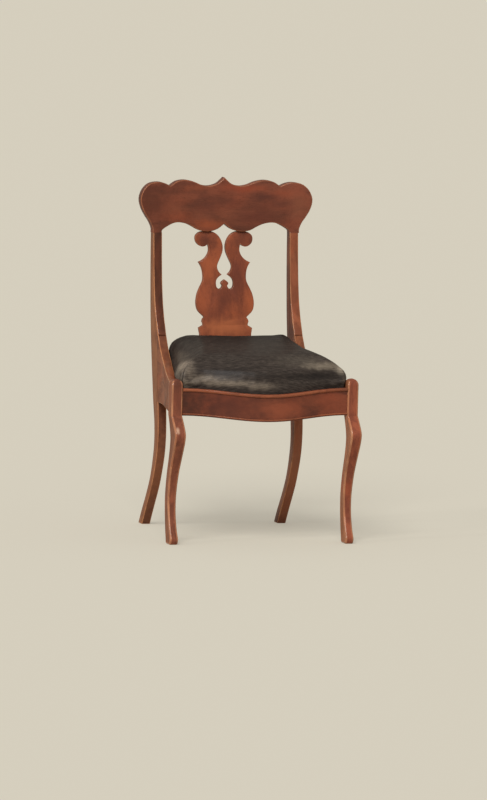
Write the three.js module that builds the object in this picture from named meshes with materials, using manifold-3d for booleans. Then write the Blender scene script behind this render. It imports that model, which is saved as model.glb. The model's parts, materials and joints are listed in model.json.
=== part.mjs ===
// A lyre back side chair in mahogany, with a drop-in seat in black horsehair cloth.
// Sizes are millimetres, +Z is up and the chair faces -Y. While it is built, Y is counted from the front
// faces of the front legs. At the end the chair is centred over the origin.

import * as THREE from "three";
import { mergeVertices } from "three/addons/utils/BufferGeometryUtils.js";
import Module from "manifold-3d";

const wasm = await Module();
wasm.setup();

// Overall sizes
const chairHeight = 865; // floor to the tip of the crest rail
const frontWidth = 474; // across the outsides of the front legs
const seatTaper = 51; // how far each side comes in from the front legs to the back posts
const crestHeight = 135; // tip of the crest rail above its joints with the posts
const seatRun = 316; // front of the legs to the back posts, at the underside of the rails
const railTop = 384; // floor to the top of the front rail at its ends
const railHeight = 67; // height of the seat rails
const ledgeDrop = 34; // ledge that carries the drop-in seat, below the top of the front rail
const railBottom = railTop - railHeight;
const postSpan = frontWidth - 2 * seatTaper; // across the outsides of the back posts
const postHeight = chairHeight - crestHeight;
const ledgeHeight = railTop - ledgeDrop;

// Fits
const glueLine = 0.3; // between glued or seated faces
const seatPlay = 1.5; // all round the drop-in seat
const overrun = 20; // how far a cutter runs past a face
const weld = 0.001; // points closer than this are one

// Solids

function toManifold(geometry) {
  const bare = new THREE.BufferGeometry();
  bare.setAttribute("position", geometry.getAttribute("position"));
  bare.setIndex(geometry.index);
  const merged = mergeVertices(bare, weld);
  const vertProperties = merged.attributes.position.array;
  const triVerts = new Uint32Array(merged.index.array);
  return new wasm.Manifold(new wasm.Mesh({ numProp: 3, vertProperties, triVerts }));
}

function toGeometry(manifold) {
  const mesh = manifold.getMesh();
  const geometry = new THREE.BufferGeometry();
  geometry.setAttribute("position", new THREE.BufferAttribute(mesh.vertProperties, 3));
  geometry.setIndex(new THREE.BufferAttribute(mesh.triVerts, 1));
  return geometry;
}

function joined(first, ...others) {
  return toGeometry(others.reduce((all, one) => all.add(toManifold(one)), toManifold(first)));
}

function cut(first, ...others) {
  return toGeometry(others.reduce((all, one) => all.subtract(toManifold(one)), toManifold(first)));
}

function common(first, ...others) {
  return toGeometry(others.reduce((all, one) => all.intersect(toManifold(one)), toManifold(first)));
}

function box(x0, x1, y0, y1, z0, z1) {
  const geometry = new THREE.BoxGeometry(x1 - x0, y1 - y0, z1 - z0);
  return geometry.translate((x0 + x1) / 2, (y0 + y1) / 2, (z0 + z1) / 2);
}

const axisX = new THREE.Vector3(1, 0, 0);
const axisY = new THREE.Vector3(0, 1, 0);
const axisZ = new THREE.Vector3(0, 0, 1);

function extruded(points, depth) {
  const apart = points.filter((p, i) => p.distanceTo(points[(i + 1) % points.length]) > weld);
  return new THREE.ExtrudeGeometry(new THREE.Shape(apart), { depth, bevelEnabled: false });
}

// A side elevation, with points (y, z), sawn through from one x to another
function alongX(points, from, to) {
  const turn = new THREE.Matrix4().makeBasis(axisY, axisZ, axisX);
  return extruded(points, to - from).applyMatrix4(turn).translate(from, 0, 0);
}

// A front elevation, with points (x, z), sawn through from one y to another
function alongY(points, from, to) {
  const turn = new THREE.Matrix4().makeBasis(axisX, axisZ, axisY.clone().negate());
  return extruded(points, to - from).applyMatrix4(turn).translate(0, to, 0);
}

// A plan, with points (x, y), sawn through from one height to another
function alongZ(points, from, to) {
  return extruded(points, to - from).translate(0, 0, from);
}

// Leans a piece back by slope for each unit of height above level
function leaned(geometry, slope, level) {
  const shear = new THREE.Matrix4().makeShear(0, 0, 0, 0, 0, slope);
  return geometry.translate(0, 0, -level).applyMatrix4(shear).translate(0, 0, level);
}

// A closed skin through rings that all have the same count of points, closed by a fan at each end
function loft(rings) {
  const count = rings[0].length;
  const ends = [rings[0], rings.at(-1)].map((ring) =>
    ring.reduce((sum, p) => sum.add(p), new THREE.Vector3()).divideScalar(count),
  );
  const points = [...rings.flat(), ...ends];
  const faces = [];
  for (let i = 0; i < count; i += 1) {
    const next = (i + 1) % count;
    const last = (rings.length - 1) * count;
    for (let low = 0; low < last; low += count) {
      faces.push(low + i, low + next, low + count + next);
      faces.push(low + i, low + count + next, low + count + i);
    }
    faces.push(points.length - 2, next, i);
    faces.push(points.length - 1, last + i, last + next);
  }
  const geometry = new THREE.BufferGeometry().setFromPoints(points);
  geometry.setIndex(faces);
  return geometry;
}

// Outlines

function spread(shares, x0, xSize, y0, ySize) {
  return shares.map(([x, y]) => new THREE.Vector2(x0 + x * xSize, y0 + y * ySize));
}

function smooth(points, steps) {
  return new THREE.SplineCurve(points).getPoints(steps);
}

function at(x, y) {
  return new THREE.Vector2(x, y);
}

function mirrored(points) {
  return points.map((p) => at(-p.x, p.y)).reverse();
}

// Evenly spaced numbers from one to another
function steps(from, to, count) {
  return Array.from({ length: count + 1 }, (_, i) => from + ((to - from) * i) / count);
}

// Where a run of points (y, z) passes a height
function yAt(points, z) {
  const i = points.findIndex((p, n) => n > 0 && (p.y - z) * (points[n - 1].y - z) <= 0);
  const [a, b] = [points[i - 1], points[i]];
  return a.y === b.y ? a.x : a.x + ((b.x - a.x) * (z - a.y)) / (b.y - a.y);
}

// Sides in plan: the seat narrows towards the back, then runs straight back past the posts
const railThickness = 22;
const bendLength = 80;
const sideSlope = (frontWidth - postSpan) / 2 / (seatRun - bendLength / 2);

function sideX(y) {
  const past = Math.min(Math.max(y - (seatRun - bendLength), 0), bendLength);
  return frontWidth / 2 - sideSlope * (Math.min(y, seatRun) - (past * past) / (2 * bendLength));
}

// Back posts: stile and rear leg sawn in one, leaning back above the seat and raked back below it
const postThickness = 22;
const postDepth = 46; // front to back at the underside of the rails
const stileDepth = 28; // front to back under the crest rail
const stileLean = 80; // front of the stile under the crest rail, behind its front at the rails
const rearFootDepth = 32;
const rearFootRake = 124; // front of the rear foot, behind the front of the post at the rails
const hornRise = 96; // swept end of the side rail above the front rail
const hornSetback = 23; // top of the shoulder between rail and post, behind its foot
const hornNib = 9; // blunt end of the swept rail
const sideRailStep = 5; // side rail above the front rail where they meet the leg
const crestTenonLength = 22;
const crestTenonThickness = 9;
const crestTenonShoulder = 5;
const sweepSteps = 4; // for each point of the swept line
const postEdgeSteps = 30;

// Front legs, needed here for where the swept line starts
const blockWidth = 28;
const blockDepth = 34;

const postInner = postSpan / 2 - postThickness;
const postTopFront = seatRun + stileLean;
const postTopBack = postTopFront + stileDepth;
const heel = seatRun + rearFootRake + rearFootDepth;
const postBackAtRail = seatRun + postDepth;
const shoulderTop = at(seatRun + hornSetback, railTop + hornRise);
const hornTip = at(shoulderTop.x - hornNib, shoulderTop.y);
const sweepStart = at(blockDepth, railTop + sideRailStep);

const railSweepShares = [[0, 0], [0.392, 0.1], [0.662, 0.23], [0.814, 0.418], [0.909, 0.637], [1, 1]];
const stileSweepShares = [[0.15, 0.068], [0.4, 0.185], [0.63, 0.341], [0.8, 0.542], [0.91, 0.759], [1, 1]];

function between(shares, from, to) {
  return spread(shares, from.x, to.x - from.x, from.y, to.y - from.y);
}

const sweepPoints = [
  ...between(railSweepShares, sweepStart, hornTip),
  ...between(stileSweepShares, hornTip, at(postTopFront, postHeight)),
];
const sweep = smooth(sweepPoints, sweepSteps * (sweepPoints.length - 1));
const tipStep = sweepSteps * (railSweepShares.length - 1);
const railSweep = sweep.slice(0, tipStep + 1);
const stileFront = sweep.slice(tipStep);

const legFrontShares = [
  [1, 0], [0.823, 0.093], [0.435, 0.28], [0.242, 0.392], [0.02, 0.57], [-0.06, 0.72], [-0.05, 0.86], [0, 1],
];
const legFront = smooth(spread(legFrontShares, seatRun, rearFootRake, 0, railBottom), postEdgeSteps);

const stileBackShares = [
  [1, 1], [0.952, 0.848], [0.871, 0.694], [0.726, 0.499], [0.5, 0.315], [0.258, 0.156], [0, 0],
];
const legBackShares = [
  [-0.145, 0.835], [-0.173, 0.67], [-0.055, 0.514], [0.127, 0.38], [0.436, 0.237], [0.755, 0.109], [1, 0],
];
const postBack = smooth(
  [
    ...between(stileBackShares, at(postBackAtRail, railBottom), at(postTopBack, postHeight)),
    ...between(legBackShares, at(postBackAtRail, 0), at(heel, railBottom)),
  ],
  postEdgeSteps * 2,
);
const postSide = [...legFront, shoulderTop, ...stileFront, ...postBack];

// Tenon on top of a post, and the mortise for it, which is larger by grow
function crestTenon(grow) {
  const middle = (postTopFront + postTopBack) / 2;
  return box(
    postInner + crestTenonShoulder - grow, postSpan / 2 - crestTenonShoulder + grow,
    middle - crestTenonThickness / 2 - grow, middle + crestTenonThickness / 2 + grow,
    postHeight - overrun, postHeight + crestTenonLength + grow,
  );
}

// Side rails: sawn to the side elevation and bent in plan, with a tenon at each end
const sideTenonShoulder = 14; // above and below the tenon
const sideTenonThickness = 8;
const sideTenonRear = 20;
const sideTenonFront = 11;
const sideRailSteps = 12;

function shoulderY(z) {
  return seatRun + (hornSetback * (z - railBottom)) / (shoulderTop.y - railBottom);
}

const sideRailSide = [
  at(blockDepth + glueLine, railBottom),
  at(shoulderY(railBottom) - glueLine, railBottom),
  at(shoulderTop.x - glueLine, shoulderTop.y - glueLine),
  at(hornTip.x, hornTip.y - glueLine),
  ...railSweep.slice(1, -1).reverse(),
  at(blockDepth + glueLine, sweepStart.y),
];

function sideBand(outer, inner, from, to) {
  const run = steps(from, to, sideRailSteps);
  return [...run.map((y) => at(sideX(y) - outer, y)), ...run.map((y) => at(sideX(y) - inner, y)).reverse()];
}

// Tenon at one end of a side rail, lying in the middle of its thickness where the rail ends
function sideTenon(end, from, to, grow) {
  const middle = sideX(end) - railThickness / 2;
  return box(
    middle - sideTenonThickness / 2 - grow, middle + sideTenonThickness / 2 + grow,
    from, to,
    railBottom + sideTenonShoulder - grow, railTop - sideTenonShoulder + grow,
  );
}

function rearSideTenon(grow) {
  return sideTenon(seatRun, seatRun - overrun, seatRun + sideTenonRear + grow, grow);
}

function frontSideTenon(grow) {
  return sideTenon(blockDepth, blockDepth - sideTenonFront - grow, blockDepth + overrun, grow);
}

const sideRailPlan = alongZ(sideBand(0, railThickness, 0, shoulderTop.x + overrun), 0, chairHeight);
const sideRailElevation = alongX(sideRailSide, 0, frontWidth);

// Front legs: a round-topped block, a knee thrown forward and an S-curved shaft, sawn from two sides
const blockRise = 22; // top of the block above the front rail
const kneeReach = 40; // knee in front of the block
const ankleWidth = 20;
const frontFootWidth = 22;
const frontLegSteps = 40;
const blockTopSteps = 12;

const blockInner = frontWidth / 2 - blockWidth;
const legMiddle = frontWidth / 2 - blockWidth / 2;
const blockTop = railTop + blockRise;
const blockTopShares = [[0, 0.3], [0.08, 0.7], [0.3, 0.96], [0.52, 1], [0.8, 0.85], [1, 0.42]];
const kneeShares = [
  [0, 1], [-0.55, 0.938], [-1, 0.863], [-0.8, 0.779], [-0.35, 0.682], [0.275, 0.536],
  [0.625, 0.374], [0.55, 0.237], [0.2, 0.112], [-0.1, 0.044], [0.05, 0],
];
const calfShares = [
  [1.09, 0], [1.235, 0.047], [1.41, 0.093], [1.6, 0.181], [1.68, 0.262], [1.62, 0.38],
  [1.2, 0.536], [0.59, 0.685], [0.29, 0.785], [0.28, 0.847], [0.62, 0.935], [1, 1],
];
const frontLegSide = [
  ...smooth(spread(kneeShares, 0, kneeReach, 0, railBottom), frontLegSteps),
  ...smooth(spread(calfShares, 0, blockDepth, 0, railBottom), frontLegSteps),
  ...smooth(spread(blockTopShares, 0, blockDepth, railTop, blockRise), blockTopSteps).reverse(),
];
const ankleShare = 0.2; // of the height under the rail
const kneeShare = 0.8;
const shinEdge = smooth(
  [
    at(frontFootWidth / 2, 0),
    at(ankleWidth / 2, railBottom * ankleShare),
    at((ankleWidth + blockWidth) / 4, (railBottom * (ankleShare + kneeShare)) / 2),
    at(blockWidth / 2, railBottom * kneeShare),
    at(blockWidth / 2, railBottom),
  ],
  blockTopSteps,
);
const blockArch = steps(0, Math.PI, blockTopSteps).map((turn) =>
  at((blockWidth / 2) * Math.cos(turn), blockTop - blockWidth / 2 + (blockWidth / 2) * Math.sin(turn)),
);
const frontLegFace = [...shinEdge, ...blockArch, ...mirrored(shinEdge)].map((p) => at(p.x + legMiddle, p.y));

// Front rail: serpentine in plan with a dip in elevation, rebated along the back for the drop-in seat
const frontRailThickness = 24;
const frontRailSetback = 3; // its ends behind the faces of the leg blocks
const railBow = 42; // its middle in front of its ends
const railDip = 12; // its middle below its ends
const lipThickness = 11;
const frontTenonLength = 15;
const frontTenonThickness = 8;
const frontTenonShoulder = 12;
const frontRailSteps = 28;

const frontRailHalf = blockInner - glueLine;

function bell(x) {
  return (1 + Math.cos((Math.PI * x) / frontRailHalf)) / 2;
}

function railFace(x) {
  return frontRailSetback - railBow * bell(x);
}

const frontRailXs = steps(-frontRailHalf, frontRailHalf, frontRailSteps);
const frontRailPlan = [
  ...frontRailXs.map((x) => at(x, railFace(x))),
  ...frontRailXs.map((x) => at(x, railFace(x) + frontRailThickness)).reverse(),
];
const frontRailElevation = [
  ...frontRailXs.map((x) => at(x, railBottom - railDip * bell(x))),
  ...frontRailXs.map((x) => at(x, railTop - railDip * bell(x))).reverse(),
];

function frontTenon(grow) {
  const middle = frontRailSetback + frontRailThickness / 2;
  return box(
    frontRailHalf - overrun, blockInner + frontTenonLength + grow,
    middle - frontTenonThickness / 2 - grow, middle + frontTenonThickness / 2 + grow,
    railBottom + frontTenonShoulder - grow, ledgeHeight - glueLine + grow,
  );
}

// Back rail and the splat shoe on it, both leaning with the posts
const backRailThickness = 22;
const backRailInset = 6; // in front of the backs of the posts
const backTenonLength = 13;
const backTenonThickness = 8;
const backTenonShoulder = 10;
const shoeHeight = 26;
const shoeDepth = 20;
const shoeCove = 7; // hollow along the top front edge of the shoe

const backRailLow = yAt(postBack, railBottom) - backRailInset;
const backRailHigh = yAt(postBack, railTop) - backRailInset;
const backRailSlope = (backRailHigh - backRailLow) / railHeight;
const backRailHalf = postInner - glueLine;

function backRailFront(z) {
  return backRailLow - backRailThickness + backRailSlope * (z - railBottom);
}

// A bar that leans with the back rail: y is counted from the rail's front face
function backBar(x0, x1, y0, y1, z0, z1) {
  const low = backRailLow - backRailThickness;
  return leaned(box(x0, x1, low + y0, low + y1, z0, z1), backRailSlope, railBottom);
}

function backTenon(grow) {
  const middle = backRailThickness / 2;
  return backBar(
    backRailHalf - overrun, postInner + backTenonLength + grow,
    middle - backTenonThickness / 2 - grow, middle + backTenonThickness / 2 + grow,
    railBottom + backTenonShoulder - grow, railTop - backTenonShoulder + grow,
  );
}

// Crest rail: a board hollowed in plan, with a pointed middle, round shoulders and round ears
const earOverhang = 34.5; // ears of the crest beyond the posts
const crestThickness = 26;
const crestSag = 22; // its middle behind its ears
const crestLean = 0.08; // set back for each unit of height
const neckFlare = 2; // outside of the crest beyond the post
const crestSteps = 24;
const crestEdgeSteps = 32;

const earSpan = postSpan + 2 * earOverhang;
const crestMiddle =
  (postTopFront + postTopBack) / 2 + crestSag * ((postSpan - postThickness) / earSpan) ** 2;

function crestY(x) {
  return crestMiddle - crestSag * ((2 * x) / earSpan) ** 2;
}

const crestTopShares = [
  [0, 1], [0.035, 0.945], [0.088, 0.88], [0.177, 0.843], [0.265, 0.861],
  [0.366, 0.925], [0.468, 0.953], [0.565, 0.925], [0.64, 0.845],
];
const earShares = [
  [0.64, 0.845], [0.706, 0.897], [0.786, 0.92], [0.887, 0.89], [0.9625, 0.782],
  [1, 0.62], [0.98, 0.453], [0.932, 0.307], [0.883, 0.19],
];
const archLowShare = 0.011; // lowest point of the arch
const archShares = [
  [0.662, 0.124], [0.592, 0.1715], [0.521, 0.179], [0.433, 0.146], [0.362, 0.091],
  [0.3, 0.0365], [0.221, archLowShare], [0.15, 0.018], [0.0795, 0.058], [0.031, 0.113], [0, 0.153],
];
const neckBendShare = 0.073; // height of the outer bend of the neck
const archFootShare = 0.05; // height of the inner bend of the neck

function onCrest(shares) {
  return spread(shares, 0, earSpan / 2, postHeight, crestHeight);
}

const neckOuter = postSpan / 2 + neckFlare;
const neckBend = at(neckOuter, postHeight + crestHeight * neckBendShare);
const archFoot = at(postInner - neckFlare, postHeight + crestHeight * archFootShare);
const crestHalf = [
  ...smooth(onCrest(crestTopShares), crestEdgeSteps),
  ...smooth([...onCrest(earShares), neckBend, at(neckOuter, postHeight)], crestEdgeSteps),
  ...smooth([at(postInner, postHeight), archFoot, ...onCrest(archShares)], crestEdgeSteps),
];
const crestXs = steps(-earSpan / 2 - overrun, earSpan / 2 + overrun, crestSteps);
const crestPlan = [
  ...crestXs.map((x) => at(x, crestY(x) - crestThickness / 2)),
  ...crestXs.map((x) => at(x, crestY(x) + crestThickness / 2)).reverse(),
];

// Lyre splat: two scroll arms, a bud between them, a waisted body and a plinth
const splatWidthShare = 0.336; // of the crest
const splatThickness = 12;
const armTenonWidth = 18;
const armTenonThickness = 6;
const armTenonLength = 14;
const footTenonShoulder = 8;
const footTenonLength = 9;
const splatSteps = 4; // for each point of an outline

const splatWidth = earSpan * splatWidthShare;
const shoeTop = railTop + glueLine + shoeHeight;
const splatFoot = shoeTop + glueLine;
const splatTop = postHeight + archLowShare * crestHeight - glueLine;
const splatHeight = splatTop - splatFoot;
const splatBase = backRailFront(shoeTop) + shoeCove + splatThickness / 2;
const armMiddleShare = 0.585; // middle of an arm's top, from the centre line
const armMiddle = (armMiddleShare * splatWidth) / 2;
const splatSlope = (crestY(armMiddle) - splatBase) / splatHeight;

// Shares of half the width and of the height, from the arms down to the plinth
const armOuterShares = [
  [0.74, 1], [0.857, 0.993], [0.968, 0.971], [0.994, 0.945], [0.961, 0.916],
  [0.87, 0.894], [0.753, 0.884], [0.636, 0.89], [0.565, 0.904],
];
const neckShares = [
  [0.565, 0.904], [0.539, 0.881], [0.532, 0.857], [0.565, 0.83], [0.636, 0.804], [0.753, 0.781], [0.896, 0.765],
];
const bodyShares = [
  [0.896, 0.765], [0.831, 0.742], [0.779, 0.714], [0.747, 0.675], [0.747, 0.632], [0.792, 0.602], [0.87, 0.568],
  [0.948, 0.526], [0.994, 0.48], [1, 0.444], [0.974, 0.41], [0.909, 0.383], [0.765, 0.352],
];
const plinthShares = [
  [0.737, 0.343], [0.786, 0.33], [0.805, 0.312], [0.775, 0.291],
  [0.777, 0.283], [0.925, 0.263], [0.89, 0.215], [0.89, 0],
];
const slotShares = [
  [0.43, 1], [0.338, 0.993], [0.208, 0.972], [0.11, 0.939], [0.056, 0.903], [0.044, 0.872], [0.072, 0.836],
  [0.152, 0.792], [0.234, 0.751], [0.25, 0.723], [0.196, 0.693], [0.1, 0.67],
];
const lobeShares = [
  [0.1, 0.67], [0.21, 0.652], [0.284, 0.63], [0.302, 0.604], [0.285, 0.578],
  [0.235, 0.564], [0.175, 0.561], [0.115, 0.57], [0.084, 0.586],
];
const budShares = [[0.084, 0.586], [0.118, 0.597], [0.121, 0.609], [0.07, 0.621], [0, 0.632]];

function onSplat(shares) {
  return spread(shares, 0, splatWidth / 2, splatFoot, splatHeight);
}

function splatCurve(shares) {
  return smooth(onSplat(shares), splatSteps * (shares.length - 1));
}

const splatOuter = [armOuterShares, neckShares, bodyShares].flatMap(splatCurve).concat(onSplat(plinthShares));
const splatInner = [slotShares, lobeShares, budShares].flatMap(splatCurve);
const splatFace = [
  ...splatOuter, ...mirrored(splatOuter),
  ...splatInner.map((p) => at(-p.x, p.y)), ...splatInner.slice().reverse(),
];

function splatBar(half, thickness, z0, z1, x0) {
  return leaned(
    box(x0 - half, x0 + half, splatBase - thickness / 2, splatBase + thickness / 2, z0, z1),
    splatSlope,
    splatFoot,
  );
}

function armTenon(side, grow) {
  return splatBar(
    armTenonWidth / 2 + grow, armTenonThickness + 2 * grow,
    splatTop - overrun, splatTop + armTenonLength + grow, side * armMiddle,
  );
}

function footTenon(grow) {
  const half = (splatWidth * plinthShares.at(-1)[0]) / 2 - footTenonShoulder;
  const low = splatFoot - footTenonLength - grow;
  return splatBar(half + grow, splatThickness + 2 * grow, low, splatFoot + overrun, 0);
}

// Corner blocks, glued in the corners of the seat frame and screwed to both rails
const blockLeg = 46; // along each rail
const blockEnd = 14; // blunt tip
const blockHeight = 26;
const screwLength = 30;
const screwRadius = 1.9;
const screwHeadRadius = 4;
const screwHeadDepth = 3;
const screwPoint = 6;
const screwInRail = 13; // how far a screw enters the rail
const screwTurns = 10; // facets round a screw

const innerThickness = Math.max(railThickness, postThickness);

function innerX(y) {
  return Math.min(blockInner, sideX(y) - innerThickness);
}

const cornerSteps = 5;
const frontCorner = at(blockInner - glueLine, blockDepth + glueLine);
const frontBlockXs = steps(blockInner - blockLeg, frontCorner.x, cornerSteps);
const frontBlockYs = steps(blockDepth + glueLine, blockDepth + blockLeg, cornerSteps);
const frontBlockPlan = [
  ...frontBlockXs.map((x) => at(x, railFace(x) + frontRailThickness + glueLine)),
  frontCorner,
  ...frontBlockYs.map((y) => at(innerX(y) - glueLine, y)),
  at(innerX(blockDepth + blockLeg) - blockEnd, blockDepth + blockLeg),
  at(blockInner - blockLeg, frontRailSetback + frontRailThickness + blockEnd),
];
const rearEdge = backRailLow - backRailThickness - glueLine;
const rearBlockYs = steps(rearEdge - blockLeg, rearEdge + overrun, cornerSteps + 1);
const rearBlockPlan = [
  ...rearBlockYs.map((y) => at(innerX(y) - glueLine, y)),
  at(innerX(rearEdge) - blockLeg, rearEdge + overrun),
  at(innerX(rearEdge) - blockLeg, rearEdge - blockEnd),
  at(innerX(rearEdge - blockLeg) - blockEnd, rearEdge - blockLeg),
];
const blockLow = ledgeHeight - blockHeight;
const screwHeight = ledgeHeight - blockHeight / 2;

// A wood screw with its head at the origin and its point along +Z, larger by grow
function screw(grow, headRoom) {
  const profile = [
    at(0, -headRoom),
    at(screwHeadRadius + grow, -headRoom),
    at(screwHeadRadius + grow, 0),
    at(screwRadius + grow, screwHeadDepth + grow),
    at(screwRadius + grow, screwLength - screwPoint),
    at(0, screwLength + grow),
  ];
  return new THREE.LatheGeometry(profile, screwTurns).rotateX(Math.PI / 2);
}

// A screw through a corner block: its point lies at tip and it is driven in the direction given
function drivenScrew(tip, direction, grow, headRoom) {
  const turn = new THREE.Quaternion().setFromUnitVectors(axisZ, direction);
  const head = tip.clone().addScaledVector(direction, -screwLength);
  return screw(grow, headRoom).applyQuaternion(turn).translate(head.x, head.y, head.z);
}

const screwFromEnd = blockEnd / 2 + screwHeadRadius / 2;
const frontScrewX = blockInner - blockLeg + screwFromEnd;
const frontScrewY = blockDepth + blockLeg - screwFromEnd;
const rearScrewX = innerX(rearEdge) - blockLeg + screwFromEnd;
const rearScrewY = rearEdge - blockLeg + screwFromEnd;
const screws = {
  front_block_rail_screw: [
    new THREE.Vector3(frontScrewX, railFace(frontScrewX) + frontRailThickness - screwInRail, screwHeight),
    axisY.clone().negate(),
  ],
  front_block_side_screw: [
    new THREE.Vector3(innerX(frontScrewY) + screwInRail, frontScrewY, screwHeight), axisX,
  ],
  rear_block_rail_screw: [
    new THREE.Vector3(rearScrewX, backRailFront(screwHeight) + screwInRail, screwHeight), axisY,
  ],
  rear_block_side_screw: [
    new THREE.Vector3(innerX(rearScrewY) + screwInRail, rearScrewY, screwHeight), axisX,
  ],
};

function screwHole(name) {
  return drivenScrew(...screws[name], glueLine, blockLeg);
}

// Mirrors a cutter or a tenon to the other side of the chair
function otherSide(geometry) {
  return toGeometry(toManifold(geometry).mirror(axisX.toArray()));
}

function bothSides(geometry) {
  return [geometry, otherSide(geometry)];
}

// Ledgers that carry the seat between the blocks
const ledgerWidth = 14;
const ledgerHeight = 18;
const ledgerGap = 2; // to the blocks at its ends

// Drop-in seat: outline in plan, set in by inset from the play round it
const seatCorner = 12;
const frontRunSteps = 6;
const sideRunSteps = 7;
const backRunSteps = 4;
const cornerRunSteps = 3;
const seatBack = backRailFront(ledgeHeight);

function bend(from, corner, to) {
  return new THREE.QuadraticBezierCurve(from, corner, to).getPoints(cornerRunSteps);
}

function seatOutline(inset) {
  const edge = seatPlay + inset;
  const side = (y) => innerX(y) - edge;
  const front = (x) => railFace(x) + lipThickness + edge;
  const back = seatBack - edge;
  const frontY = front(side(0));
  const frontX = side(frontY);
  const onFront = (x) => at(x, front(x));
  const onSide = (y) => at(side(y), y);
  const right = [
    ...steps(0, frontX - seatCorner, frontRunSteps).map(onFront),
    ...bend(onFront(frontX - seatCorner), at(frontX, frontY), onSide(frontY + seatCorner)).slice(1),
    ...steps(frontY + seatCorner, back - seatCorner, sideRunSteps).slice(1).map(onSide),
    ...bend(onSide(back - seatCorner), onSide(back), at(side(back) - seatCorner, back)).slice(1),
    ...steps(side(back) - seatCorner, 0, backRunSteps).slice(1).map((x) => at(x, back)),
  ];
  return [...right, ...mirrored(right).slice(1, -1)];
}

// Seat frame: four rails half-lapped at the corners
const seatFrameThickness = 20;
const seatFrameWidth = 45;
const coverThickness = 1.2;

const coverBottom = ledgeHeight + glueLine;
const frameBottom = coverBottom + coverThickness + glueLine;
const frameTop = frameBottom + seatFrameThickness;
const frameInset = coverThickness + glueLine;
const frameMiddle = (frameBottom + frameTop) / 2;
const frontInnerY = railFace(frontRailHalf) + lipThickness + seatPlay + frameInset + seatFrameWidth;
const backInnerY = seatBack - seatPlay - frameInset - seatFrameWidth;

function seatFrameRing(z0, z1) {
  const outer = alongZ(seatOutline(frameInset), z0, z1);
  return cut(outer, alongZ(seatOutline(frameInset + seatFrameWidth), z0 - overrun, z1 + overrun));
}

// Everything between the inner edges of the side members, right through the seat
function betweenSides(grow) {
  const reach = railBow + overrun;
  const ys = steps(-reach, seatBack + reach, sideRunSteps * 2);
  const half = ys.map((y) => at(innerX(y) - seatPlay - frameInset - seatFrameWidth + grow, y));
  return alongZ([...half, ...half.map((p) => at(-p.x, p.y)).reverse()], 0, chairHeight);
}

function seatFrameAcross(y0, y1) {
  const reach = frontWidth / 2;
  const lower = common(
    seatFrameRing(frameBottom, frameMiddle - glueLine / 2), box(-reach, reach, y0, y1, 0, chairHeight),
  );
  const upper = common(
    seatFrameRing(frameMiddle - glueLine / 2, frameTop),
    box(-reach, reach, y0, y1, 0, chairHeight),
    betweenSides(-glueLine),
  );
  return joined(lower, upper);
}

function seatFrameSide() {
  const reach = frontWidth / 2;
  const lower = common(
    seatFrameRing(frameBottom, frameMiddle + glueLine / 2),
    box(0, reach, frontInnerY + glueLine, backInnerY - glueLine, 0, chairHeight),
  );
  const upper = common(
    seatFrameRing(frameMiddle + glueLine / 2, frameTop), box(0, reach, -reach, chairHeight, 0, chairHeight),
  );
  return joined(lower, cut(upper, betweenSides(0)));
}

// Webbing: straps over and under each other, tacked on top of the seat frame
const strapWidth = 50;
const strapThickness = 1.6;
const strapPitchShare = 0.1857; // of the width of the seat frame in front
const strapPlay = 0.4; // where two straps cross
const strapSteps = 24;
const strapEndInset = 12; // from the edge of the seat frame

const strapPitch = frontWidth * strapPitchShare;
const strapWave = (strapThickness + strapPlay) / 2 / Math.cos((Math.PI * strapWidth) / 2 / strapPitch);
const strapLevel = frameTop + glueLine + strapWave;
const webbingTop = strapLevel + strapWave + strapThickness;
const seatMiddle = (railFace(0) + lipThickness + seatBack) / 2;

// Height of a strap's underside at a distance from the middle crossing; it ends low, on the frame
function strapHeight(along, over) {
  const away = Math.abs(along);
  const rise = (over * strapWave) * Math.cos((Math.PI * away) / strapPitch);
  if (away <= strapPitch) return strapLevel + rise;
  const fall = (1 + Math.cos((Math.PI * Math.min(away - strapPitch, strapPitch)) / strapPitch)) / 2;
  return strapLevel - strapWave + strapWave * (1 - over) * fall;
}

function strapProfile(from, to, middle, over) {
  const run = steps(from, to, strapSteps);
  return [
    ...run.map((s) => at(s, strapHeight(s - middle, over))),
    ...run.map((s) => at(s, strapHeight(s - middle, over) + strapThickness)).reverse(),
  ];
}

function lengthStrap(column) {
  const x = column * strapPitch;
  const from = railFace(Math.abs(x) + strapWidth / 2) + lipThickness + seatPlay + strapEndInset;
  const profile = strapProfile(from, seatBack - seatPlay - strapEndInset, seatMiddle, 1 - 2 * (column & 1));
  return alongX(profile, x - strapWidth / 2, x + strapWidth / 2);
}

function crossStrap(row) {
  const y = seatMiddle + row * strapPitch;
  const half = innerX(y + strapWidth / 2) - seatPlay - strapEndInset;
  return alongY(strapProfile(-half, half, 0, 2 * (row & 1) - 1), y - strapWidth / 2, y + strapWidth / 2);
}

// Crown of the seat: its edge rises to the back, and the middle stands up in a dome
const padFront = 30; // edge of the seat above the front rail, at the front
const padBack = 70;
const crownRise = 40;
const baseClothThickness = 1;
const baseClothInset = 8;
const turnUnder = 15; // cover folded under the frame
const drawnIn = 2; // upper edge of the pad inside its foot
const crownPower = 6;
const crownFullness = 0.66;
const crownShares = [0.25, 0.5, 0.7, 0.82, 0.91, 0.97, 1];
const padSideShares = [[1, 1], [0.35, 0.8], [0.08, 0.5], [0, 0]]; // drawn in, height of the side

const stuffingBottom = webbingTop + baseClothThickness + 2 * glueLine;

function seatEdge(y) {
  const front = railFace(0) + lipThickness;
  return railTop + padFront + ((padBack - padFront) * (y - front)) / (seatBack - front);
}

function crownRing(share, inset, drop) {
  return seatOutline(inset + drawnIn).map((p) => {
    const y = seatMiddle + (p.y - seatMiddle) * share;
    const rise = crownRise * (1 - share ** crownPower) ** crownFullness;
    return new THREE.Vector3(p.x * share, y, seatEdge(y) + rise - drop);
  });
}

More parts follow.
